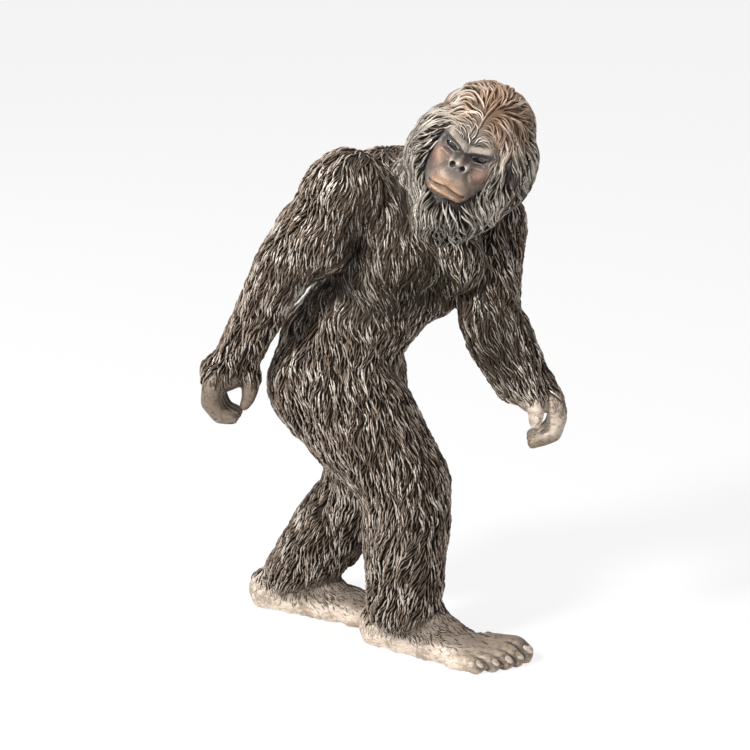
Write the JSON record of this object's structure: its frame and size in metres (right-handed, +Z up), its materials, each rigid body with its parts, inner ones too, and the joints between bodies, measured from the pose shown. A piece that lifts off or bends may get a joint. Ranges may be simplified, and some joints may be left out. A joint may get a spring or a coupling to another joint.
{
  "type": "garden statue",
  "caption": "Walking bigfoot garden statue with carved shaggy fur, bare feet, long swinging arms and its head turned to look over.",
  "frame": {"origin": "on the floor under the middle of the statue's outline, soles at z = 0", "axes": "+Z up, +X the way the statue strides, -Y the way its face and chest turn"},
  "size_m": [0.452, 0.2952, 0.7134],
  "materials": {
    "painted_resin": "cast resin painted dark bronze brown, tan on the bare feet, satin"
  },
  "bodies": {
    "root": {"bigfoot_statue": "painted_resin"}
  },
  "joints": []
}
